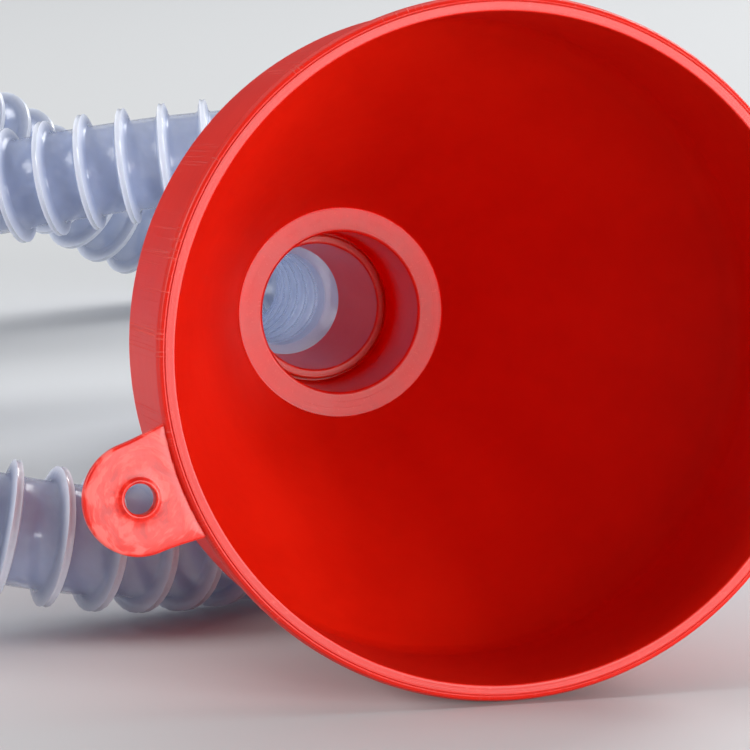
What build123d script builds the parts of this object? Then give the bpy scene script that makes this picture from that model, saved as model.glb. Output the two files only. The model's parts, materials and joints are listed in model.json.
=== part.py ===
from build123d import *
import os
from math import atan2, cos, degrees, pi, radians, sin, tan

# A plastic filling funnel that lies on a bench, with a long corrugated hose on its spout.
# Sizes are in mm. +Z is up, the mouth faces -Y and leans up a little, and the bench is z = 0.
# The origin is under the middle of the funnel's own bounding box.

# Driving dimensions of the funnel. Depths run from the rim's face towards the spout.
LEAN = 5.5                # how far the mouth's axis is raised above the horizontal, degrees
MOUTH_R = 64.2            # inner edge of the rim's flat face
FACE_R = 66.3             # outer edge of the rim's flat face
LIP_R = 67.5              # outside of the rounded lip
LIP_DEPTH = 3.6           # how far back the lip reaches
WALL = 1.3                # wall of the band and of the cone
BAND_DEPTH = 39.7         # depth at which the straight band meets the cone
BAND_R = 64.3             # outside of the band where it meets the cone
LEDGE_DEPTH = 121.5       # depth of the flat ledge round the throat
LEDGE_R = 22.4            # outer edge of the ledge
THROAT_R = 17.2           # inner edge of the ledge
SOCKET_DEPTH = 144.5      # floor of the throat's socket
SOCKET_R = 16.5           # bore of the socket at its floor
SPOUT_MOUTH_DEPTH = 142.0  # the spout's own rim stands up inside the socket
SPOUT_MOUTH_R = 13.8      # bore of the spout at its rim
SPOUT_END_DEPTH = 169.5   # end of the spout
SPOUT_END_R = 12.1        # bore of the spout at its end
SPOUT_WALL = 1.5

# The hanging tab on the lip.
TAB_HOLE_R = 2.95
TAB_HOLE_AT = (-71.4, -25.0)   # centre of the hole, sideways and upwards from the mouth's axis
TAB_END_R = 10.9
TAB_FRONT = 1.2           # depth of the tab's front face
TAB_THICK = 1.9

# The hose. Its cuff slides over the spout.
HOSE_R = 14.4             # over the ridges
HOSE_WALL = 1.2
CUFF_DEPTH = 147.0        # depth of the inlet cuff's open end
CUFF_WALL = 1.3
CUFF_CLEARANCE = 0.05     # radial clearance between the cuff and the spout
CUFF_STEP_DEPTH = 170.0   # depth of the shoulder that stops the spout
CUFF_NECK_DEPTH = 175.0   # the cuff has narrowed to the hose here
HOSE_START_DEPTH = 180.0
FIRST_BEND_DEPTH = 273.0  # the hose runs straight on from the spout to here
OUTLET_R = 12.4           # outside of the plain outlet cuff
OUTLET_WALL = 1.4
OUTLET_LENGTH = 38.0

# Route of the hose's centre line, as steps from the point of the bench under the rim's centre.
# From the first bend it loops back under the spout, swings out on the left, comes back over itself, and
# turns behind to end on the left.
ROUTE = [
    (80.0, 337.0, 25.0),
    (172.0, 295.0, 16.0),
    (180.0, 192.0, 14.9),
    (98.0, 129.0, 14.8),
    (8.0, 130.5, 14.8),
    (-57.0, 69.0, 14.9),
    (-140.0, 94.0, 37.0),
    (-198.0, 150.0, 49.0),
    (-206.0, 234.0, 50.0),
    (-164.0, 310.0, 49.0),
    (-78.0, 335.0, 48.0),
    (10.0, 287.0, 71.0),
    (106.0, 288.0, 66.0),
    (168.0, 352.0, 36.0),
    (168.0, 431.0, 17.0),
    (113.0, 487.0, 14.8),
    (40.0, 487.0, 14.8),
    (-38.0, 441.0, 74.0),
    (-108.0, 409.0, 49.0),
    (-166.0, 382.0, 28.0),
]
ARC_SHARE = 0.45          # each bend takes this share of the shorter run beside it
SPANS = 5                 # the hose is one moulding, in this many solids


def rim_height():
    """The band's back edge rests on the bench, which sets the height of the rim's centre."""
    return BAND_R * cos(radians(LEAN)) + BAND_DEPTH * sin(radians(LEAN))


def rim_centre():
    """Place of the rim's centre in the part's frame, worked out from the funnel's own extent."""
    lean = radians(LEAN)
    left = TAB_HOLE_AT[0] - TAB_END_R
    front = -FACE_R * sin(lean)
    back = SPOUT_END_DEPTH * cos(lean) + (SPOUT_END_R + SPOUT_WALL) * sin(lean)
    return Vector(-(left + LIP_R) / 2, -(front + back) / 2, rim_height())


# Local frame of the funnel: local z points out of the mouth, the rim's face is at z = 0.
PLACE = Location(rim_centre(), (90 - LEAN, 0, 0))


def turned(points, arcs=()):
    """A ring-shaped solid from an outline of (radius, depth) points, in the part's frame.

    arcs holds (index, radius, depth): the side that starts at that point bulges through it.
    """
    edges = []
    bulges = {arc[0]: (arc[1], arc[2]) for arc in arcs}
    for i, point in enumerate(points):
        after = points[(i + 1) % len(points)]
        start = (point[0], 0, -point[1])
        end = (after[0], 0, -after[1])
        if i in bulges:
            through = (bulges[i][0], 0, -bulges[i][1])
            edges.append(ThreePointArc(start, through, end))
        else:
            edges.append(Line(start, end))
    outline = make_face(Wire(edges))
    return PLACE * revolve(outline, Axis.Z)


def mouth_band():
    """Rim face, rounded lip and the nearly straight band behind it."""
    points = [
        (MOUTH_R, 0),
        (FACE_R, 0),
        (LIP_R, 1.2),
        (LIP_R, LIP_DEPTH - 0.5),
        (LIP_R - 0.5, LIP_DEPTH),
        (BAND_R + 1.2, LIP_DEPTH),
        (BAND_R, BAND_DEPTH),
        (BAND_R - WALL, BAND_DEPTH),
    ]
    return turned(points, [(1, FACE_R + 0.85, 0.35)])


def bowl_cone():
    """Conical wall from the band to the throat."""
    points = [
        (BAND_R - WALL, BAND_DEPTH),
        (BAND_R, BAND_DEPTH),
        (LEDGE_R + WALL, LEDGE_DEPTH),
        (LEDGE_R, LEDGE_DEPTH),
    ]
    return turned(points)


def throat_socket():
    """Flat ledge round the throat, and the socket behind it with its floor."""
    points = [
        (THROAT_R, LEDGE_DEPTH),
        (LEDGE_R + WALL, LEDGE_DEPTH),
        (THROAT_R + WALL + 1.2, LEDGE_DEPTH + 3.0),
        (SOCKET_R + WALL, SOCKET_DEPTH + WALL),
        (SPOUT_MOUTH_R + SPOUT_WALL, SOCKET_DEPTH + WALL),
        (SPOUT_MOUTH_R + SPOUT_WALL, SOCKET_DEPTH),
        (SOCKET_R, SOCKET_DEPTH),
    ]
    return turned(points)


def spout_tube():
    """Tapered spout, whose rim stands a little way up inside the socket."""
    edge = 0.35
    floor_r = SPOUT_MOUTH_R + SPOUT_WALL
    points = [
        (SPOUT_MOUTH_R, SPOUT_MOUTH_DEPTH),
        (floor_r - edge, SPOUT_MOUTH_DEPTH),
        (floor_r, SPOUT_MOUTH_DEPTH + edge),
        (floor_r, SOCKET_DEPTH + WALL),
        (SPOUT_END_R + SPOUT_WALL, SPOUT_END_DEPTH),
        (SPOUT_END_R, SPOUT_END_DEPTH),
    ]
    return turned(points)


def hang_tab():
    """Flat ear on the side of the lip, with a hole to hang the funnel by."""
    x, y = TAB_HOLE_AT
    reach = Vector(x, y).length
    angle = degrees(atan2(y, x))
    inner = LIP_R - 6.0
    ear = Pos((inner + reach) / 2, 0, 0) * Box(reach - inner, 2 * TAB_END_R, TAB_THICK)
    ear += Pos(reach, 0, 0) * Cylinder(TAB_END_R, TAB_THICK)
    ear -= Pos(reach, 0, 0) * Cylinder(TAB_HOLE_R, 3 * TAB_THICK)
    ear -= Cylinder(LIP_R, 3 * TAB_THICK)
    return PLACE * Pos(0, 0, -TAB_FRONT - TAB_THICK / 2) * Rot(0, 0, angle) * ear


def spout_outside(depth):
    """Radius of the outside of the spout at a depth."""
    share = (depth - SOCKET_DEPTH - WALL) / (SPOUT_END_DEPTH - SOCKET_DEPTH - WALL)
    return SPOUT_WALL + SPOUT_MOUTH_R + share * (SPOUT_END_R - SPOUT_MOUTH_R)


def hose_inlet_cuff():
    """Sleeve that slides over the spout, then narrows to the hose."""
    mouth = spout_outside(CUFF_DEPTH) + CUFF_CLEARANCE
    seat = spout_outside(SPOUT_END_DEPTH) + CUFF_CLEARANCE
    bore = HOSE_R - HOSE_WALL - 1.2
    points = [
        (mouth, CUFF_DEPTH),
        (mouth + CUFF_WALL, CUFF_DEPTH),
        (seat + CUFF_WALL, CUFF_STEP_DEPTH),
        (HOSE_R, CUFF_NECK_DEPTH),
        (HOSE_R, HOSE_START_DEPTH),
        (bore, HOSE_START_DEPTH),
        (bore, CUFF_STEP_DEPTH),
        (seat, CUFF_STEP_DEPTH),
        (seat, SPOUT_END_DEPTH),
    ]
    return turned(points)


def hose_points():
    """All the points of the hose's route in the part's frame, from its inlet cuff to its end."""
    centre = rim_centre()
    lean = radians(LEAN)
    along = Vector(0, cos(lean), -sin(lean))
    straight = [centre + along * depth for depth in (HOSE_START_DEPTH, FIRST_BEND_DEPTH)]
    foot = Vector(centre.X, centre.Y, 0)
    return straight + [foot + Vector(*step) for step in ROUTE]


def bend_radii(points):
    """Radius of the bend at each inner point: as large as the two runs beside it allow."""
    radii = []
    for before, here, after in zip(points, points[1:], points[2:]):
        turn = (here - before).get_angle(after - here)
        shorter = min((here - before).length, (after - here).length)
        radii.append(ARC_SHARE * shorter / tan(radians(turn / 2)))
    return radii


def hose_spans():
    """The hose as plain tubes end to end, cut across in the middle of a run."""
    points = hose_points()
    radii = bend_radii(points)
    inner = len(radii)
    spans = []
    for k in range(SPANS):
        first = 1 + k * inner // SPANS
        last = (k + 1) * inner // SPANS
        start = points[0] if k == 0 else (points[first - 1] + points[first]) / 2
        end = points[-1] if k == SPANS - 1 else (points[last] + points[last + 1]) / 2
        path = FilletPolyline(start, *points[first:last + 1], end, radius=radii[first - 1:last])
        ring = Plane(start, z_dir=points[first] - start) * (
            Circle(HOSE_R) - Circle(HOSE_R - HOSE_WALL)
        )
        spans.append((sweep(ring, path), path.length))
    return spans


def hose_outlet_cuff():
    """Plain end of the hose, a short tube in line with its last run."""
    points = hose_points()
    end = points[-1]
    along = Plane(end, z_dir=end - points[-2])
    outline = along * (Circle(OUTLET_R) - Circle(OUTLET_R - OUTLET_WALL))
    cuff = extrude(outline, OUTLET_LENGTH)
    collar = along * (Circle(HOSE_R) - Circle(OUTLET_R - OUTLET_WALL))
    return cuff + extrude(collar, 2.0)


def main():
    """Write one STEP file for each sub-part and print the hose's bends and lengths."""
    os.makedirs("parts", exist_ok=True)
    nodes = {
        "mouth_band": mouth_band(),
        "bowl_cone": bowl_cone(),
        "throat_socket": throat_socket(),
        "spout_tube": spout_tube(),
        "hang_tab": hang_tab(),
        "hose_inlet_cuff": hose_inlet_cuff(),
        "hose_outlet_cuff": hose_outlet_cuff(),
    }
    section = pi * (HOSE_R ** 2 - (HOSE_R - HOSE_WALL) ** 2)
    total = 0
    for k, (span, length) in enumerate(hose_spans(), start=1):
        nodes[f"hose_span_{k}"] = span
        total += length
        print(f"span {k}: length {length:.0f}, volume / section {span.volume / section:.0f}")
    for name, shape in nodes.items():
        export_step(shape, f"parts/{name}.step")
    print("rim centre", rim_centre())
    print("hose length", round(total), "bend radii", [round(r) for r in bend_radii(hose_points())])


main()
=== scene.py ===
import json
import logging
import math
from dataclasses import dataclass
from enum import Enum
from typing import Any, ClassVar

import bpy
import numpy as np
from mathutils import Matrix, Vector


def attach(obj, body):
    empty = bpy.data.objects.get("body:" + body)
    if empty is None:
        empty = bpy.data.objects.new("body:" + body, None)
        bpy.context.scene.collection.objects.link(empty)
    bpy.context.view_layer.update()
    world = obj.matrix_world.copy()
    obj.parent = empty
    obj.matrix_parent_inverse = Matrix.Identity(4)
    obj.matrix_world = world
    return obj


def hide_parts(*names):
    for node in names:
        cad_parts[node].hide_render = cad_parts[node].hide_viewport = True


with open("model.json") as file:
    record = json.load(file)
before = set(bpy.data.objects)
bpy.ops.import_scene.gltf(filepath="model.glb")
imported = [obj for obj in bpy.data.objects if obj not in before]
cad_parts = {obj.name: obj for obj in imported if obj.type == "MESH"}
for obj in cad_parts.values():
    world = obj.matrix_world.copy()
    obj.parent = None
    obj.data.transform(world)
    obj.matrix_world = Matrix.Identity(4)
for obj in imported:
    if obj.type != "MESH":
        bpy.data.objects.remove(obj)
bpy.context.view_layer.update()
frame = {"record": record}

log = logging.getLogger("filling_funnel")

MM = 0.001
TINY = 1e-6

Colour = tuple[float, float, float, float]
# A corner of a turned outline: radius, depth along the axis and corner radius, in mm.
Corner = tuple[float, float, float]

ARC_STEP = math.radians(15.0)  # a rounded corner has a point at least this often
CORNER_SHARE = 0.42            # most of a side that one corner may take
EDGE_GAP = 0.25                # a flat side has a point this close to its ends, in mm
EDGE_SHARE = 0.2               # or at this share of a short side
TURNED_SHARP = 40.0            # sharper edges of a turned piece stay crisp, in degrees


class Body(Enum):
    """The two rigid bodies of the part."""

    FUNNEL = "funnel"
    HOSE = "hose"


class Slot(Enum):
    """Material slots of the record."""

    RED = "red_plastic"
    HOSE = "hose_plastic"


# ---------------------------------------------------------------- frames


@dataclass(frozen=True)
class Spindle:
    """A turning axis: a point on it and three unit directions.

    depth grows against `out`, so a depth of 0 is the point itself.
    """

    centre: np.ndarray
    out: np.ndarray
    side: np.ndarray
    rise: np.ndarray

    @classmethod
    def from_mount(cls, name: str) -> "Spindle":
        """Spindle through one of the record's mounts.

        Args:
            name: the mount's name.

        Returns:
            The spindle, with `side` level and `rise` square to both.
        """
        mount = next(m for m in frame["record"]["mounts"] if m["name"] == name)
        out = np.array(mount["axis"], float)
        out /= np.linalg.norm(out)
        side = np.cross(out, (0.0, 0.0, 1.0))
        side *= -1.0 / np.linalg.norm(side)
        return cls(np.array(mount["pos_m"], float), out, side, np.cross(side, -out))

    def moved(self, depth: float) -> "Spindle":
        """The same spindle with its centre a depth further in, in metres."""
        return Spindle(self.centre - self.out * depth, self.out, self.side, self.rise)

    def place(self, across: np.ndarray, up: np.ndarray, depth: np.ndarray) -> np.ndarray:
        """Points from sideways, upward and depth distances in metres."""
        return (
            self.centre
            + across[..., None] * self.side
            + up[..., None] * self.rise
            - depth[..., None] * self.out
        )


# ---------------------------------------------------------------- mesh helpers


def signed_volume(points: np.ndarray, quads: np.ndarray) -> float:
    """Volume inside closed quads: positive when the faces look outwards.

    It is the sum over the two triangles of each quad of the scalar triple product of the
    corners, over six.

    Args:
        points: array of (n, 3).
        quads: array of (m, 4) indices.

    Returns:
        The volume, in the cube of the points' unit.
    """
    a, b, c, d = (points[quads[:, k]] for k in range(4))
    first = np.einsum("ij,ij->i", a, np.cross(b, c))
    second = np.einsum("ij,ij->i", a, np.cross(c, d))
    return float((first + second).sum() / 6.0)


def mesh_object(name: str, points: np.ndarray, quads: np.ndarray, sharp: float) -> bpy.types.Object:
    """Object from points and quads, smooth but for edges sharper than an angle.

    Args:
        name: name of the piece.
        points: array of (n, 3) in metres in the row's frame.
        quads: array of (m, 4) indices.
        sharp: angle in degrees above which an edge stays crisp.

    Returns:
        The linked object, whose faces look outwards.
    """
    if signed_volume(points, quads) < 0:
        quads = quads[:, ::-1]
    mesh = bpy.data.meshes.new(name)
    mesh.from_pydata(points.tolist(), [], quads.tolist())
    mesh.polygons.foreach_set("use_smooth", np.ones(len(quads), dtype=bool))
    mesh.set_sharp_from_angle(angle=math.radians(sharp))
    mesh.update()
    thing = bpy.data.objects.new(name, mesh)
    bpy.context.scene.collection.objects.link(thing)
    return thing


def ring_quads(rows: int, columns: int) -> np.ndarray:
    """Quads of a grid that closes on itself both ways, like a torus.

    Args:
        rows: points along the first direction.
        columns: points along the second one.

    Returns:
        Array of (rows * columns, 4) indices.
    """
    i, j = np.meshgrid(np.arange(rows), np.arange(columns), indexing="ij")
    down = (i + 1) % rows
    right = (j + 1) % columns
    corners = (i * columns + j, down * columns + j, down * columns + right, i * columns + right)
    return np.stack(corners, axis=-1).reshape(-1, 4)


def rounded_loop(corners: list[Corner], longest: float = 4.0) -> np.ndarray:
    """Closed outline with its corners rounded and its sides divided.

    Each corner gives way to an arc tangent to both sides. A side gets a point close to each
    of its ends, so that the shading of the flat stays flat, and evenly spaced points between.

    Args:
        corners: the outline's corners in order.
        longest: longest step along a side, in mm.

    Returns:
        Array of (n, 2) points in mm.
    """
    spots = np.array([c[:2] for c in corners])
    arcs = []
    for k, (x, y, radius) in enumerate(corners):
        here = np.array((x, y))
        to_last = spots[k - 1] - here
        to_next = spots[(k + 1) % len(spots)] - here
        room = min(np.linalg.norm(to_last), np.linalg.norm(to_next))
        to_last = to_last / np.linalg.norm(to_last)
        to_next = to_next / np.linalg.norm(to_next)
        half = 0.5 * math.acos(float(np.clip(to_last @ to_next, -1.0, 1.0)))
        cut = min(radius / math.tan(half), CORNER_SHARE * room)
        if cut < TINY:
            arcs.append(here[None, :])
            continue
        real = cut * math.tan(half)
        inward = (to_last + to_next) / np.linalg.norm(to_last + to_next)
        middle = here + inward * real / math.sin(half)
        start = here + to_last * cut - middle
        end = here + to_next * cut - middle
        turn = math.atan2(start[0] * end[1] - start[1] * end[0], float(start @ end))
        steps = max(2, math.ceil(abs(turn) / ARC_STEP))
        angle = math.atan2(start[1], start[0]) + np.linspace(0.0, turn, steps + 1)
        arcs.append(middle + real * np.stack((np.cos(angle), np.sin(angle)), axis=1))
    points = []
    for k, arc in enumerate(arcs):
        points.append(arc)
        start = arc[-1]
        end = arcs[(k + 1) % len(arcs)][0]
        length = float(np.linalg.norm(end - start))
        near = min(EDGE_GAP, EDGE_SHARE * length)
        count = max(1, math.ceil((length - 2 * near) / longest))
        share = np.linspace(near, length - near, count + 1) / max(length, TINY)
        points.append(start + (end - start) * share[:, None])
    return np.concatenate(points)


def turned_piece(name: str, axis: Spindle, corners: list[Corner], around: int) -> bpy.types.Object:
    """A turned ring: a rounded outline swept once round an axis.

    A point is the axis at its depth, plus radius times (cosine of the angle times the level
    direction plus sine of the angle times the rising one).

    Args:
        name: name of the piece.
        axis: the axis to turn about.
        corners: the outline's corners in order.
        around: how many points each circle has.

    Returns:
        The linked object.
    """
    outline = rounded_loop(corners) * MM
    angle = np.linspace(0.0, 2 * math.pi, around, endpoint=False)
    radius = outline[:, 0][:, None]
    depth = np.broadcast_to(outline[:, 1][:, None], (len(outline), around))
    points = axis.place(radius * np.cos(angle), radius * np.sin(angle), depth)
    return mesh_object(name, points.reshape(-1, 3), ring_quads(len(outline), around), TURNED_SHARP)


# ---------------------------------------------------------------- shader helpers


class Num:
    """A number on a shader socket that takes part in Python arithmetic."""

    def __init__(self, shader: "Shader", socket: bpy.types.NodeSocket) -> None:
        """Wraps one output socket of a shader."""
        self.shader = shader
        self.socket = socket

    def _math(self, operation: str, first: Any, second: Any) -> "Num":
        """A Math node on two values."""
        return self.shader.add("ShaderNodeMath", {"operation": operation}, {0: first, 1: second})

    def __add__(self, other: Any) -> "Num":
        """Sum."""
        return self._math("ADD", self, other)

    __radd__ = __add__

    def __mul__(self, other: Any) -> "Num":
        """Product."""
        return self._math("MULTIPLY", self, other)

    __rmul__ = __mul__

    def __sub__(self, other: Any) -> "Num":
        """Difference."""
        return self._math("SUBTRACT", self, other)

    def __rsub__(self, other: Any) -> "Num":
        """Difference the other way."""
        return self._math("SUBTRACT", other, self)

    def step(self, low: float, high: float) -> "Num":
        """Rises smoothly from 0 at low to 1 at high."""
        inputs = {"Value": self, "From Min": low, "From Max": high, "To Min": 0.0, "To Max": 1.0}
        return self.shader.add("ShaderNodeMapRange", {"interpolation_type": "SMOOTHSTEP"}, inputs)


class Shader:
    """The node tree of one material, ending in a Principled surface."""

    def __init__(self, name: str) -> None:
        """Starts an empty tree with the surface and its output."""
        self.material = bpy.data.materials.new(name)
        self.material.use_nodes = True
        self.tree = self.material.node_tree
        self.tree.nodes.clear()
        self.surface = self.tree.nodes.new("ShaderNodeBsdfPrincipled")
        output = self.tree.nodes.new("ShaderNodeOutputMaterial")
        self.tree.links.new(self.surface.outputs[0], output.inputs["Surface"])

    def add(self, kind: str, settings: dict[str, Any], inputs: dict[Any, Any], out: Any = 0) -> Num:
        """Adds one node.

        Args:
            kind: the node's type.
            settings: properties, set first.
            inputs: socket name or index to a number, tuple or Num.
            out: name or index of the output to wrap.

        Returns:
            The output, wrapped.
        """
        node = self.tree.nodes.new(kind)
        for key, value in settings.items():
            setattr(node, key, value)
        for key, value in inputs.items():
            self.put(node.inputs[key], value)
        return Num(self, node.outputs[out])

    def put(self, socket: bpy.types.NodeSocket, value: Any) -> None:
        """Links a Num to a socket, or sets a plain value on it."""
        if isinstance(value, Num):
            self.tree.links.new(value.socket, socket)
        else:
            socket.default_value = value

    def dress(self, **inputs: Any) -> None:
        """Sets sockets of the surface. Underscores in the names stand for spaces."""
        for key, value in inputs.items():
            self.put(self.surface.inputs[key.replace("_", " ")], value)

    def vector(
        self, operation: str, first: Any, second: Any = (0.0, 0.0, 0.0), out: Any = 0
    ) -> Num:
        """A Vector Math node on two vectors."""
        settings = {"operation": operation}
        return self.add("ShaderNodeVectorMath", settings, {0: first, 1: second}, out)

    def scaled(self, vector: Any, factor: Any) -> Num:
        """A vector times a number."""
        settings = {"operation": "SCALE"}
        return self.add("ShaderNodeVectorMath", settings, {0: vector, "Scale": factor})

    def object_point(self) -> Num:
        """Place of the shaded point in the object's frame."""
        return self.add("ShaderNodeTexCoord", {}, {}, "Object")

    def object_normal(self) -> Num:
        """Direction of the surface in the object's frame."""
        return self.add("ShaderNodeTexCoord", {}, {}, "Normal")

    def noise(self, vector: Num, scale: float, detail: float = 2.0, rough: float = 0.5) -> Num:
        """Smooth noise from 0 to 1."""
        inputs = {"Vector": vector, "Scale": scale, "Detail": detail, "Roughness": rough}
        return self.add("ShaderNodeTexNoise", {}, inputs)

    def turned_noise(
        self,
        spoke: Num,
        around: float,
        axis: Spindle,
        along: Num,
        detail: float,
        rough: float = 0.5,
    ) -> Num:
        """Noise that follows a turned shape.

        Args:
            spoke: unit direction from the axis to the shaded point.
            around: how fast the noise changes round the axis.
            axis: the axis.
            along: a distance times how fast the noise changes along it.
            detail: how many finer layers are added.
            rough: how strong the finer layers are.

        Returns:
            The noise, from 0 to 1.
        """
        place = self.vector("ADD", self.scaled(spoke, around), self.scaled(tuple(axis.out), along))
        return self.noise(place, 1.0, detail, rough)

    def blend(self, factor: Any, first: Any, second: Any) -> Num:
        """Colour mixed from first to second.

        Args:
            factor: 0 for the first, 1 for the second.
            first: a colour or a Num.
            second: a colour or a Num.

        Returns:
            The mixed colour.
        """
        mix = self.tree.nodes.new("ShaderNodeMix")
        mix.data_type = "RGBA"
        # A Mix node keeps its colour sockets after those for numbers and vectors.
        for index, value in ((0, factor), (6, first), (7, second)):
            self.put(mix.inputs[index], value)
        return Num(self, mix.outputs[2])

    def bump(self, height: Num, distance: float) -> Num:
        """Surface direction disturbed by a height, whose full range is distance in metres."""
        inputs = {"Height": height, "Distance": distance, "Strength": 1.0}
        return self.add("ShaderNodeBump", {}, inputs)


# ---------------------------------------------------------------- finishes


@dataclass(frozen=True)
class RedPlastic:
    """Glossy injection-moulded red plastic, with lathe lines and scuffs on faces square to
    the axis, axial rub marks outside and a faint flow pattern inside. The scuffs are rougher
    and dented, and their pale pink is a painted reflection of the front softbox on those faces.

    Lengths are in metres, and `per_metre` values say how fast a pattern changes.
    """

    name: str
    axis: Spindle
    glow: float = 0.10
    glow_depth: float = 0.003
    deep: Colour = (0.60, 0.008, 0.0012, 1.0)
    bright: Colour = (0.67, 0.011, 0.0018, 1.0)
    # pale pink: a painted reflection on faces square to the axis, and the paler colour of the rub
    # marks
    pale: Colour = (0.86, 0.16, 0.13, 1.0)
    glow_reach: tuple[float, float, float] = (1.0, 0.12, 0.06)
    lathe_per_metre: float = 5200.0
    nick_per_metre: float = 900.0
    rub_per_metre: float = 14.0
    patch_per_metre: float = 6.0
    flow_per_metre: float = 30.0
    grain_per_metre: float = 1500.0
    peel_per_metre: float = 190.0
    relief: float = 0.00006

    def build(self) -> bpy.types.Material:
        """Makes the material.

        Returns:
            The material. Its patterns lie round the axis.
        """
        sh = Shader(self.name)
        axis = self.axis
        out = tuple(axis.out)
        point = sh.vector("SUBTRACT", sh.object_point(), tuple(axis.centre))
        ahead = sh.vector("DOT_PRODUCT", point, out, "Value")
        flat = sh.vector("SUBTRACT", point, sh.scaled(out, ahead))
        radius = sh.vector("LENGTH", flat, out="Value")
        spoke = sh.vector("NORMALIZE", flat)
        normal = sh.object_normal()
        facing = sh.vector("DOT_PRODUCT", normal, out, "Value").step(0.80, 0.96)
        outer = sh.vector("DOT_PRODUCT", normal, spoke, "Value").step(0.15, 0.55)

        lathe = sh.turned_noise(spoke, 0.9, axis, radius * self.lathe_per_metre, 1.5)
        rubs = sh.turned_noise(spoke, 150.0, axis, ahead * self.rub_per_metre, 2.0, 0.6)
        patches = sh.turned_noise(spoke, 9.0, axis, ahead * self.patch_per_metre, 1.0)
        flow = sh.turned_noise(spoke, 3.0, axis, ahead * self.flow_per_metre, 3.0, 0.55)
        nicks = sh.turned_noise(spoke, 34.0, axis, radius * self.nick_per_metre, 4.0, 0.7)
        grain = sh.noise(sh.object_point(), self.grain_per_metre)
        peel = sh.noise(sh.object_point(), self.peel_per_metre)
        strokes = rubs.step(0.56, 0.68) * patches.step(0.46, 0.60) * outer
        scuffs_and_painted_reflection = nicks.step(0.56, 0.80) * facing

        tone = flow * 0.75 + peel * 0.25
        colour = sh.blend(tone.step(0.25, 0.75), self.deep, self.bright)
        # The scuffs' share of the pale pink is a painted reflection of the front softbox on faces
        # square to the axis; the rub marks' share is their own paler colour.
        colour = sh.blend(scuffs_and_painted_reflection * 0.50 + strokes * 0.30, colour, self.pale)
        height = (
            lathe * facing * 0.45
            + strokes * 1.5
            + peel * (1.0 - facing) * 0.9
            + grain * 0.10
            - scuffs_and_painted_reflection * 0.15
        )
        sh.dress(
            Base_Color=colour,
            Roughness=0.33 + flow * 0.08 + outer * 0.05 + scuffs_and_painted_reflection * 0.14 + strokes * 0.22,
            Normal=sh.bump(height, self.relief),
            IOR=1.47,
            Specular_IOR_Level=0.38,
            Subsurface_Weight=self.glow,
            Subsurface_Radius=self.glow_reach,
            Subsurface_Scale=self.glow_depth,
        )
        return sh.material


@dataclass(frozen=True)
class TabPlastic:
    """The same red plastic on the hanging tab, with flow marks that curl round its hole.

    Lengths are in metres, and `per_metre` values say how fast a pattern changes.
    """

    name: str
    hole: Spindle
    deep: Colour = (0.62, 0.008, 0.002, 1.0)
    bright: Colour = (0.82, 0.022, 0.008, 1.0)
    pale: Colour = (0.90, 0.30, 0.27, 1.0)
    dark: Colour = (0.47, 0.004, 0.002, 1.0)
    swirl_per_metre: float = 620.0
    warp_per_metre: float = 70.0
    grain_per_metre: float = 900.0
    relief: float = 0.00007

    def build(self) -> bpy.types.Material:
        """Makes the material.

        Returns:
            The material. Its marks curl round the hole.
        """
        sh = Shader(self.name)
        point = sh.vector("SUBTRACT", sh.object_point(), tuple(self.hole.centre))
        away = sh.vector("LENGTH", point, out="Value")
        spoke = sh.vector("NORMALIZE", point)
        warp = sh.noise(sh.object_point(), self.warp_per_metre)
        rings = away * self.swirl_per_metre + warp * 5.0
        swirl = sh.turned_noise(spoke, 1.6, self.hole, rings, 3.0, 0.65)
        grain = sh.noise(sh.object_point(), self.grain_per_metre, 3.0, 0.6)
        marks = swirl.step(0.50, 0.62) * away.step(0.0033, 0.0050)
        shade = (1.0 - swirl.step(0.38, 0.50)) * (1.0 - away.step(0.0060, 0.0095))
        colour = sh.blend(swirl.step(0.3, 0.7), self.deep, self.bright)
        colour = sh.blend(marks * 0.34, colour, self.pale)
        colour = sh.blend(shade * 0.55, colour, self.dark)
        sh.dress(
            Base_Color=colour,
            Roughness=0.32 + marks * 0.16 + grain * 0.05,
            Normal=sh.bump(swirl * 0.8 + grain * 0.25, self.relief),
            IOR=1.49,
            Specular_IOR_Level=0.46,
            Subsurface_Weight=0.10,
            Subsurface_Radius=(1.0, 0.12, 0.06),
            Subsurface_Scale=0.003,
        )
        return sh.material


@dataclass(frozen=True)
class MilkyPlastic:
    """Milky, slightly see-through hose plastic. The raised rings are painted paler and the valleys
    darker, a painted highlight on the ridges and painted shade between them; the rings are also
    less see-through.
    """

    name: str
    # The valley colour is darker as painted shade between the ridges, and the crest colour paler as
    # a painted highlight on them.
    valley: Colour = (0.42, 0.49, 0.70, 1.0)
    crest: Colour = (0.80, 0.84, 0.96, 1.0)
    clear: float = 0.58
    relief: float = 0.00012

    def build(self) -> bpy.types.Material:
        """Makes the material.

        Returns:
            The material. It reads the attribute `raised` of its piece.
        """
        sh = Shader(self.name)
        raised = sh.add("ShaderNodeAttribute", {"attribute_name": "raised"}, {}, "Fac")
        cloud = sh.noise(sh.object_point(), 55.0, 3.0, 0.6)
        streak = sh.noise(sh.object_point(), 420.0, 2.0)
        grain = sh.noise(sh.object_point(), 1300.0, 2.0)
        # The ridge height paints the rings paler and the valleys darker, as painted highlight and
        # painted shade; the cloud is the plastic's own uneven tone.
        body = raised * 0.80 + cloud * 0.30 - 0.08
        colour = sh.blend(body.step(0.0, 1.0), self.valley, self.crest)
        sh.dress(
            Base_Color=colour,
            Roughness=0.13 + cloud * 0.10 + streak.step(0.55, 0.75) * 0.08,
            Normal=sh.bump(streak * 0.7 + grain * 0.3, self.relief),
            Alpha=1.0 - self.clear * (1.0 - raised * 0.75) * (0.75 + cloud * 0.5),
            IOR=1.47,
            Specular_IOR_Level=0.6,
            Subsurface_Weight=0.25,
            Subsurface_Radius=(0.8, 0.9, 1.0),
            Subsurface_Scale=0.003,
        )
        return sh.material


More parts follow.
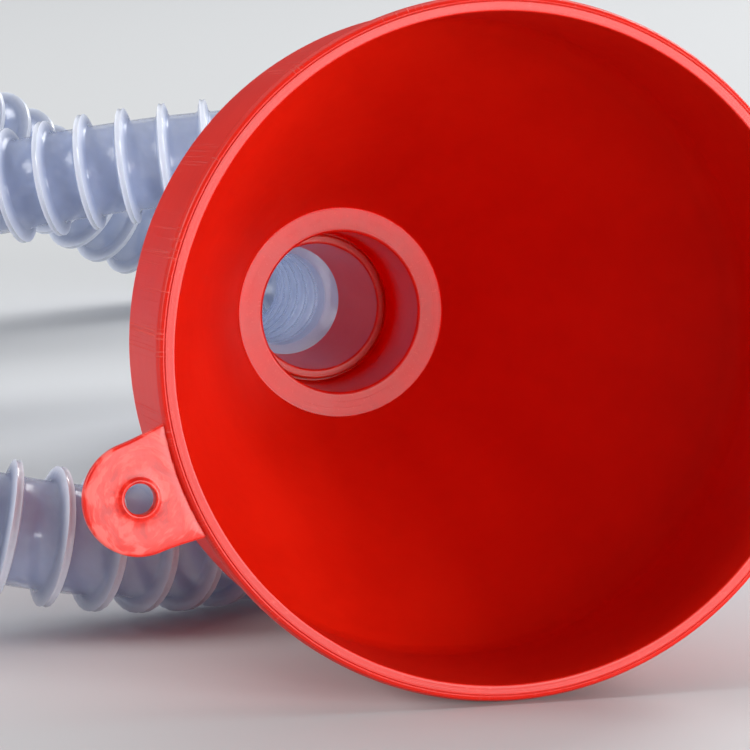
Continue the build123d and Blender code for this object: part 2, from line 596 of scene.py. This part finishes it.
@dataclass(frozen=True)
class BenchFinish:
    """Plain pale bench top with a soft sheen."""

    name: str = "pale_bench"
    tint: Colour = (0.60, 0.61, 0.62, 1.0)

    def build(self) -> bpy.types.Material:
        """Makes the material.

        Returns:
            The material.
        """
        sh = Shader(self.name)
        sh.dress(Base_Color=self.tint, Roughness=0.65, Specular_IOR_Level=0.2)
        return sh.material


def finish_piece(
    piece: bpy.types.Object, material: bpy.types.Material, body: Body, slot: Slot, *nodes: str
) -> bpy.types.Object:
    """Dresses a piece, ties it to its body and hides the CAD nodes it stands for.

    Args:
        piece: the finished piece.
        material: its finish.
        body: the body it moves with.
        slot: the record's slot. Not used.
        nodes: the CAD nodes it replaces.

    Returns:
        The piece.
    """
    piece.data.materials.clear()
    piece.data.materials.append(material)
    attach(piece, body.value)
    if nodes:
        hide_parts(*nodes)
    log.info("made %s, standing for %s", piece.name, ", ".join(nodes) or "no node")
    return piece


# ---------------------------------------------------------------- the hose

# One ridge: places as shares of the pitch, and how far each is raised.
OUTER_PLACES = np.array((-0.5, -0.18, -0.135, -0.105, -0.06, 0.0, 0.06, 0.105, 0.135, 0.18))
OUTER_LIFT = np.array((0.0, 0.0, 0.10, 0.58, 1.0, 0.90, 1.0, 0.58, 0.10, 0.0))
INNER_PLACES = np.array((-0.5, -0.14, 0.0, 0.14))
INNER_LIFT = np.array((0.0, 0.05, 1.0, 0.05))
HOSE_SHARP = 80.0  # only the cut ends stay crisp, in degrees


@dataclass
class Hose:
    """Corrugated hose on a smooth route, with a cuff at each end. Sizes are in mm."""

    funnel_axis: Spindle
    outlet_axis: Spindle
    cuff_open_depth: float = 147.0
    start_depth: float = 180.0
    first_bend_depth: float = 273.0
    crest: float = 14.4
    valley: float = 11.2
    inner_valley: float = 10.2
    inner_crest: float = 12.8
    neck: float = 11.3
    bore: float = 10.3
    outlet: float = 12.4
    pitch: float = 9.8
    around: int = 32
    cuff_around: int = 96
    cord_length: float = 1.81
    cord_diameter: float = 0.027

    # Steps in metres from the point of the bench under the mouth's centre.
    route: ClassVar[tuple[tuple[float, float, float], ...]] = (
        (0.08, 0.337, 0.025),
        (0.172, 0.295, 0.016),
        (0.18, 0.192, 0.0149),
        (0.098, 0.129, 0.0148),
        (0.008, 0.1305, 0.0148),
        (-0.057, 0.069, 0.0149),
        (-0.14, 0.094, 0.037),
        (-0.198, 0.15, 0.049),
        (-0.206, 0.234, 0.05),
        (-0.164, 0.31, 0.049),
        (-0.078, 0.335, 0.048),
        (0.01, 0.287, 0.071),
        (0.106, 0.288, 0.066),
        (0.168, 0.352, 0.036),
        (0.168, 0.431, 0.017),
        (0.113, 0.487, 0.0148),
        (0.04, 0.487, 0.0148),
        (-0.038, 0.441, 0.074),
        (-0.108, 0.409, 0.049),
        (-0.166, 0.382, 0.028),
    )

    def control_points(self) -> np.ndarray:
        """Route of the centre line: straight off the spout, then the steps.

        Returns:
            Array of (n, 3) points in metres.
        """
        axis = self.funnel_axis
        straight = [axis.moved(d * MM).centre for d in (self.start_depth, self.first_bend_depth)]
        foot = np.array((axis.centre[0], axis.centre[1], 0.0))
        return np.concatenate((np.array(straight), foot + np.array(self.route)))

    def centre_line(self) -> np.ndarray:
        """Points read from the route's smooth spline.

        Returns:
            Array of (n, 3) points in metres.
        """
        points = self.control_points()
        curve = bpy.data.curves.new("hose_route", "CURVE")
        curve.dimensions = "3D"
        spline = curve.splines.new("NURBS")
        spline.points.add(len(points) - 1)
        weights = np.ones((len(points), 1))
        spline.points.foreach_set("co", np.hstack((points, weights)).ravel())
        spline.order_u = 3
        spline.use_endpoint_u = True
        spline.resolution_u = 24
        holder = bpy.data.objects.new("hose_route", curve)
        mesh = bpy.data.meshes.new_from_object(holder)
        line = np.empty(len(mesh.vertices) * 3)
        mesh.vertices.foreach_get("co", line)
        bpy.data.objects.remove(holder)
        bpy.data.curves.remove(curve)
        bpy.data.meshes.remove(mesh)
        return line.reshape(-1, 3)

    def rings(
        self, length: float, places: np.ndarray, lift: np.ndarray, low: float, high: float
    ) -> tuple[np.ndarray, np.ndarray, np.ndarray]:
        """One ridge's shape repeated along the hose.

        Args:
            length: length of the hose in metres.
            places: places of the shape's points, as shares of the pitch from its middle.
            lift: how far each is raised, from 0 to 1.
            low: radius between the ridges in mm.
            high: radius over them in mm.

        Returns:
            Places along the hose in metres, the radius there, and how far each is raised.
        """
        rings = int(round(length / (self.pitch * MM)))
        share = np.append((np.arange(rings)[:, None] + 0.5 + places[None, :]).ravel(), rings)
        raised = np.append(np.tile(lift, rings), 0.0)
        return share * length / rings, (low + (high - low) * raised) * MM, raised

    def build_wall(
        self, material: bpy.types.Material
    ) -> bpy.types.Object:
        """The corrugated wall: circles of changing radius, square to the centre line.

        A point is the centre line's place plus radius times (cosine of the angle times the
        level direction plus sine of the angle times the direction square to it). The outer
        wall runs out along the hose and the inner one runs back, and both ends are joined, so
        it is closed.

        Args:
            material: the hose's finish.

        Returns:
            The wall.
        """
        line = self.centre_line()
        steps = np.linalg.norm(np.diff(line, axis=0), axis=1)
        run = np.concatenate(((0.0,), np.cumsum(steps)))
        length = float(run[-1])
        outside = self.rings(length, OUTER_PLACES, OUTER_LIFT, self.valley, self.crest)
        inside = self.rings(length, INNER_PLACES, INNER_LIFT, self.inner_valley, self.inner_crest)
        there, radius, raised = (np.concatenate((a, b[::-1])) for a, b in zip(outside, inside))
        centre = np.stack([np.interp(there, run, line[:, k]) for k in range(3)], axis=1)
        tangent = np.stack([np.gradient(line[:, k], run) for k in range(3)], axis=1)
        tangent = np.stack([np.interp(there, run, tangent[:, k]) for k in range(3)], axis=1)
        tangent /= np.linalg.norm(tangent, axis=1)[:, None]
        level = np.cross(tangent, (0.0, 0.0, 1.0))
        level /= np.linalg.norm(level, axis=1)[:, None]
        square = np.cross(level, tangent)
        angle = np.linspace(0.0, 2 * math.pi, self.around, endpoint=False)[None, :, None]
        spokes = np.cos(angle) * level[:, None, :] + np.sin(angle) * square[:, None, :]
        points = centre[:, None, :] + radius[:, None, None] * spokes
        quads = ring_quads(len(there), self.around)
        wall = mesh_object("corrugated_hose", points.reshape(-1, 3), quads, HOSE_SHARP)
        self.mark(wall, np.repeat(raised, self.around))
        spans = [f"hose_span_{k}" for k in range(1, 6)]
        finish_piece(wall, material, Body.HOSE, Slot.HOSE, *spans)
        return wall

    @staticmethod
    def mark(piece: bpy.types.Object, values: np.ndarray) -> None:
        """Stores on a piece how far each point is raised, for the finish to read."""
        layer = piece.data.attributes.new("raised", "FLOAT", "POINT")
        layer.data.foreach_set("value", values.astype(np.float32))

    def inlet_outline(self) -> list[Corner]:
        """Sleeve on the spout, with a rolled mouth and a shoulder where it meets the hose."""
        mouth = self.cuff_open_depth
        return [
            (15.27, mouth, 0.4),
            (16.40, mouth, 0.5),
            (16.45, mouth + 2.2, 0.6),
            (15.85, mouth + 3.0, 0.5),
            (14.95, 169.4, 2.0),
            (11.60, 174.2, 1.6),
            (self.neck, self.start_depth, 0.0),
            (self.bore, self.start_depth, 0.0),
            (10.40, 174.4, 1.2),
            (13.66, 170.0, 0.5),
        ]

    def outlet_outline(self) -> list[Corner]:
        """Plain end of the hose. Depth is counted back from the cuff's middle."""
        return [
            (self.neck, 20.0, 0.0),
            (11.45, 18.2, 0.8),
            (self.outlet, 16.6, 0.8),
            (self.outlet, -16.4, 0.5),
            (self.outlet, -18.0, 0.5),
            (11.00, -18.0, 0.4),
            (11.00, 16.2, 0.8),
            (self.bore, 18.0, 0.8),
            (self.bore, 20.0, 0.0),
        ]

    def build_cuff(
        self, name: str, axis: Spindle, outline: list[Corner], raised: float,
        material: bpy.types.Material,
    ) -> bpy.types.Object:
        """One turned cuff, which stands for the CAD node hose_ plus its name.

        Args:
            name: name of the piece.
            axis: the cuff's axis.
            outline: its corners.
            raised: where it sits on the finish's ramp from 0 like a valley to 1 like a ridge,
                which sets how pale it is painted and how opaque it is.
            material: the hose's finish.

        Returns:
            The cuff.
        """
        cuff = turned_piece(name, axis, outline, self.cuff_around)
        self.mark(cuff, np.full(len(cuff.data.vertices), raised))
        return finish_piece(cuff, material, Body.HOSE, Slot.HOSE, f"hose_{name}")

    def build(self) -> None:
        """Makes the two cuffs, then the wall between them."""
        milky = MilkyPlastic("milky_hose").build()
        inlet = self.build_cuff("inlet_cuff", self.funnel_axis, self.inlet_outline(), 0.45, milky)
        outline = self.outlet_outline()
        outlet = self.build_cuff("outlet_cuff", self.outlet_axis, outline, 0.35, milky)
        self.build_wall(milky)


# ---------------------------------------------------------------- the funnel


# Round the tab's edge: share of the way from the hole to the outline, how much further out,
# and depth, both in mm. It goes up the hole, over its raised lip, out along the front, round
# the edge and back along the back.
TAB_SECTION = np.array(
    (
        (0.0, 0.00, 2.95),
        (0.0, 0.00, 1.35),
        (0.0, 0.12, 0.98),
        (0.0, 0.40, 0.84),
        (0.0, 0.75, 0.90),
        (0.0, 1.05, 1.12),
        (0.0, 1.35, 1.20),
        (0.25, 0.80, 1.20),
        (0.6, 0.30, 1.20),
        (1.0, -0.60, 1.20),
        (1.0, -0.35, 1.24),
        (1.0, -0.12, 1.38),
        (1.0, 0.00, 1.62),
        (1.0, 0.00, 2.68),
        (1.0, -0.12, 2.92),
        (1.0, -0.35, 3.06),
        (1.0, -0.60, 3.10),
        (0.6, 0.00, 3.10),
        (0.0, 0.55, 3.10),
        (0.0, 0.25, 3.06),
    )
)
TAB_SHARP = 50.0  # sharper edges of the tab stay crisp, in degrees
FAR = 1e3         # further than any outline, in mm


@dataclass
class Funnel:
    """One-piece moulded funnel. Sizes are in mm, and depths run from the rim's face inwards."""

    axis: Spindle
    tab_hole: Spindle
    wall: float = 1.3
    face_inner: float = 64.2
    groove: float = 66.22
    lip: float = 67.5
    lip_depth: float = 3.6
    band_depth: float = 39.7
    band_cut: float = 46.0
    cone_inner: float = 63.0
    cone_narrowing: float = 40.6
    cone_length: float = 81.8
    throat_cut: float = 121.1
    ledge_depth: float = 121.5
    ledge_edge: float = 22.4
    throat: float = 17.15
    socket: float = 16.5
    socket_depth: float = 144.5
    socket_back: float = 145.8
    spout: float = 15.3
    spout_rim_depth: float = 142.0
    spout_end_depth: float = 169.5
    hole: float = 2.95
    tab_end: float = 10.9
    tab_meets_lip: float = 67.2
    tab_flare: float = 0.07
    tab_flare_length: float = 9.0
    tab_around: int = 192

    def cone_radius(self, depth: float) -> float:
        """Inner radius of the cone at a depth."""
        slope = self.cone_narrowing / self.cone_length
        return self.cone_inner - (depth - self.band_depth) * slope

    def band_outline(self) -> list[Corner]:
        """Flat rim face with a fine groove, rounded lip, and the band down to the cone."""
        cut = self.cone_radius(self.band_cut)
        return [
            (self.face_inner, 0.0, 0.35),
            (self.groove - 0.17, 0.0, 0.10),
            (self.groove, 0.22, 0.08),
            (self.groove + 0.20, 0.02, 0.25),
            (67.10, 0.35, 0.7),
            (self.lip, 1.5, 0.8),
            (self.lip, self.lip_depth, 0.8),
            (65.55, self.lip_depth, 0.5),
            (self.cone_inner + self.wall, self.band_depth, 3.0),
            (cut + self.wall, self.band_cut, 0.0),
            (cut, self.band_cut, 0.0),
            (self.cone_inner, self.band_depth, 12.0),
        ]

    def cone_outline(self) -> list[Corner]:
        """Conical wall between the band and the throat."""
        top = self.cone_radius(self.band_cut)
        low = self.cone_radius(self.throat_cut)
        return [
            (top, self.band_cut, 0.0),
            (top + self.wall, self.band_cut, 0.0),
            (low + self.wall, self.throat_cut, 0.0),
            (low, self.throat_cut, 0.0),
        ]

    def throat_outline(self) -> list[Corner]:
        """Ledge round the throat, and the socket with its floor."""
        low = self.cone_radius(self.throat_cut)
        return [
            (low, self.throat_cut, 0.0),
            (low + self.wall, self.throat_cut, 0.0),
            (23.70, 121.6, 1.5),
            (19.70, 125.0, 1.5),
            (self.socket + self.wall, self.socket_back, 0.9),
            (self.spout, self.socket_back, 0.0),
            (self.spout, self.socket_depth, 0.0),
            (self.socket, self.socket_depth, 0.4),
            (self.throat, self.ledge_depth, 0.60),
            (self.ledge_edge, self.ledge_depth, 0.35),
        ]

    def spout_outline(self) -> list[Corner]:
        """Tapered spout, whose rolled rim stands up inside the socket."""
        return [
            (13.70, self.spout_rim_depth, 0.5),
            (15.75, self.spout_rim_depth, 0.5),
            (15.70, self.spout_rim_depth + 1.2, 0.4),
            (self.spout, self.spout_rim_depth + 1.9, 0.2),
            (self.spout, self.socket_back, 0.0),
            (13.60, self.spout_end_depth, 0.5),
            (12.10, self.spout_end_depth, 0.4),
        ]

    def build_turned(
        self, name: str, outline: list[Corner], around: int, material: bpy.types.Material, node: str
    ) -> bpy.types.Object:
        """One turned piece of the funnel.

        Args:
            name: name of the piece.
            outline: its corners.
            around: how many points each circle has.
            material: its finish.
            node: the CAD node it replaces.

        Returns:
            The piece.
        """
        piece = turned_piece(name, self.axis, outline, around)
        return finish_piece(piece, material, Body.FUNNEL, Slot.RED, node)

    def tab_edge(self, ahead: np.ndarray, across: np.ndarray, reach: float) -> np.ndarray:
        """How far the tab's outline is from its hole along rays from the hole.

        The outline is the nearest of a circle of the end's radius on the free side, the two
        straight flanks with a fillet that opens towards the lip, and the lip's own circle.

        Args:
            ahead: cosine of each ray's angle to the direction of the funnel's axis.
            across: sine of the same angle.
            reach: distance from the funnel's axis to the hole, in mm.

        Returns:
            The distances in mm.
        """
        lip = self.tab_meets_lip
        to_lip = reach * ahead - np.sqrt(np.maximum(reach**2 * ahead**2 - reach**2 + lip**2, 0.0))
        to_lip = np.where((ahead > 0) & (reach * np.abs(across) < lip), to_lip, FAR)
        flank = self.tab_end / np.maximum(np.abs(across), TINY)
        edge = np.where(ahead > 0, np.minimum(flank, to_lip), self.tab_end)
        opening = np.clip(edge * ahead / self.tab_flare_length, 0.0, 1.0) ** 2
        flare = 1.0 + self.tab_flare * opening * (np.abs(across) > 0.5)
        return np.where(ahead > 0, np.minimum(edge * flare, to_lip), edge)

    def build_tab(self, material: bpy.types.Material) -> bpy.types.Object:
        """Hanging tab: a plate between its hole and its outline.

        Going round the section, a point's distance from the middle of the hole is the hole's
        radius, plus share times (outline minus hole's radius), plus the section's own step.

        Args:
            material: the tab's finish.

        Returns:
            The tab.
        """
        to_hole = self.tab_hole.centre - self.axis.centre
        x0 = float(to_hole @ self.axis.side) / MM
        y0 = float(to_hole @ self.axis.rise) / MM
        angle = np.linspace(0.0, 2 * math.pi, self.tab_around, endpoint=False)
        edge = self.tab_edge(np.cos(angle), np.sin(angle), math.hypot(x0, y0))
        share, step, depth = (TAB_SECTION[:, k][:, None] for k in range(3))
        radius = self.hole + share * (edge - self.hole) + step
        turn = math.atan2(-y0, -x0) + angle
        points = self.axis.place(
            (x0 + radius * np.cos(turn)) * MM,
            (y0 + radius * np.sin(turn)) * MM,
            np.broadcast_to(depth * MM, radius.shape),
        )
        quads = ring_quads(len(TAB_SECTION), self.tab_around)
        tab = mesh_object("hanging_tab", points.reshape(-1, 3), quads, TAB_SHARP)
        return finish_piece(tab, material, Body.FUNNEL, Slot.RED, "hang_tab")

    def build(self) -> None:
        """Makes the funnel's five pieces. More light comes through the throat and the spout, and
        the spout's red is painted brighter, as painted light shining through its wall.
        """
        wall = RedPlastic("red_moulding", self.axis).build()
        throat = RedPlastic("red_throat", self.axis, glow=0.90, glow_depth=0.006).build()
        # The spout is painted a brighter red than the rest of the moulding, which stands in for
        # light shining through its wall.
        spout = RedPlastic(
            "red_spout_painted_bright",
            self.axis,
            glow=0.90,
            glow_depth=0.006,
            deep=(0.90, 0.014, 0.003, 1.0),
            bright=(0.94, 0.020, 0.005, 1.0),
        ).build()
        self.build_turned("rim_and_band", self.band_outline(), 320, wall, "mouth_band")
        self.build_turned("cone_wall", self.cone_outline(), 320, wall, "bowl_cone")
        self.build_turned("throat_and_ledge", self.throat_outline(), 200, throat, "throat_socket")
        self.build_turned("spout", self.spout_outline(), 160, spout, "spout_tube")
        self.build_tab(TabPlastic("red_tab", self.tab_hole).build())


# ---------------------------------------------------------------- the studio


@dataclass(frozen=True)
class Softbox:
    """One rectangular softbox that faces the funnel. Sizes are in metres.

    It stands `away` from the mouth's centre along `toward`, and is raised by `lift`.
    """

    name: str
    toward: tuple[float, float, float]
    away: float
    size: tuple[float, float]
    watts: float
    lift: float = 0.0

    def build(self, centre: Vector) -> None:
        """Makes the light.

        Args:
            centre: the point it faces.
        """
        light = bpy.data.lights.new(self.name, "AREA")
        light.shape = "RECTANGLE"
        light.size, light.size_y = self.size
        light.energy = self.watts
        holder = bpy.data.objects.new(self.name, light)
        bpy.context.scene.collection.objects.link(holder)
        along = Vector(self.toward).normalized() * self.away
        holder.location = centre + along + Vector((0.0, 0.0, self.lift))
        holder.rotation_euler = (centre - holder.location).to_track_quat("-Z", "Y").to_euler()


@dataclass
class Studio:
    """Camera, bench and soft lights round the funnel. Sizes are in metres."""

    axis: Spindle
    lens: float = 240.0
    sensor: float = 36.0
    from_mouth: tuple[float, float, float] = (-0.2714, -0.8971, 0.1587)
    look: tuple[float, float, float] = (0.2604, 0.9501, -0.1720)
    right: tuple[float, float, float] = (0.9644, -0.2643, 0.0)
    bench_half: float = 12.0
    air: Colour = (0.82, 0.86, 0.92, 1.0)
    air_strength: float = 0.12

    # A front box that the rim's face mirrors, a key on the right, and soft fill.
    boxes: ClassVar[tuple[Softbox, ...]] = (
        Softbox("front_box", (0.2604, -0.9655, 0.0124), 2.0, (0.62, 0.5), 19.0, 0.22),
        Softbox("key_box", (1.0, -1.25, 0.16), 2.0, (0.8, 0.8), 37.0),
        Softbox("back_box", (0.8, 0.7, 0.6), 2.2, (0.9, 0.9), 26.0),
        Softbox("left_box", (-1.0, 0.12, 0.45), 2.0, (0.7, 0.9), 26.0),
        Softbox("top_box", (0.05, 0.45, 1.0), 3.5, (5.0, 5.0), 80.0),
    )

    def build_camera(self) -> None:
        """Camera in front on the left, a little above, looking into the mouth."""
        camera = bpy.data.cameras.new("camera")
        camera.lens = self.lens
        camera.sensor_width = self.sensor
        camera.clip_start = 0.05
        camera.clip_end = 50.0
        holder = bpy.data.objects.new("camera", camera)
        bpy.context.scene.collection.objects.link(holder)
        look = np.array(self.look) / np.linalg.norm(self.look)
        right = np.array(self.right) / np.linalg.norm(self.right)
        turn = np.eye(4)
        turn[:3, 0] = right
        turn[:3, 1] = np.cross(right, look)
        turn[:3, 2] = -look
        turn[:3, 3] = self.axis.centre + np.array(self.from_mouth)
        holder.matrix_world = Matrix(turn.tolist())
        bpy.context.scene.camera = holder

    def build_bench(self) -> None:
        """Large level bench top."""
        half = self.bench_half
        points = [(-half, -half, 0.0), (half, -half, 0.0), (half, half, 0.0), (-half, half, 0.0)]
        mesh = bpy.data.meshes.new("bench")
        mesh.from_pydata(points, [], [(0, 1, 2, 3)])
        mesh.materials.append(BenchFinish().build())
        bench = bpy.data.objects.new("bench", mesh)
        bpy.context.scene.collection.objects.link(bench)

    def build_lights(self) -> None:
        """Softboxes and an even pale surround."""
        for box in self.boxes:
            box.build(Vector(self.axis.centre))
        world = bpy.data.worlds.new("studio")
        bpy.context.scene.world = world
        world.use_nodes = True
        backdrop = world.node_tree.nodes["Background"]
        backdrop.inputs["Color"].default_value = self.air
        backdrop.inputs["Strength"].default_value = self.air_strength
        bpy.context.scene.view_settings.view_transform = "Standard"


# ---------------------------------------------------------------- making


def main() -> None:
    """Builds the camera and the hose first, then the funnel, the bench and the lights."""
    logging.basicConfig(level=logging.INFO, format="%(name)s: %(message)s")
    axis = Spindle.from_mount("mouth")
    studio = Studio(axis)
    studio.build_camera()
    Hose(axis, Spindle.from_mount("hose_outlet")).build()
    Funnel(axis, Spindle.from_mount("tab_hole")).build()
    studio.build_bench()
    studio.build_lights()


if __name__ == "__main__":
    main()
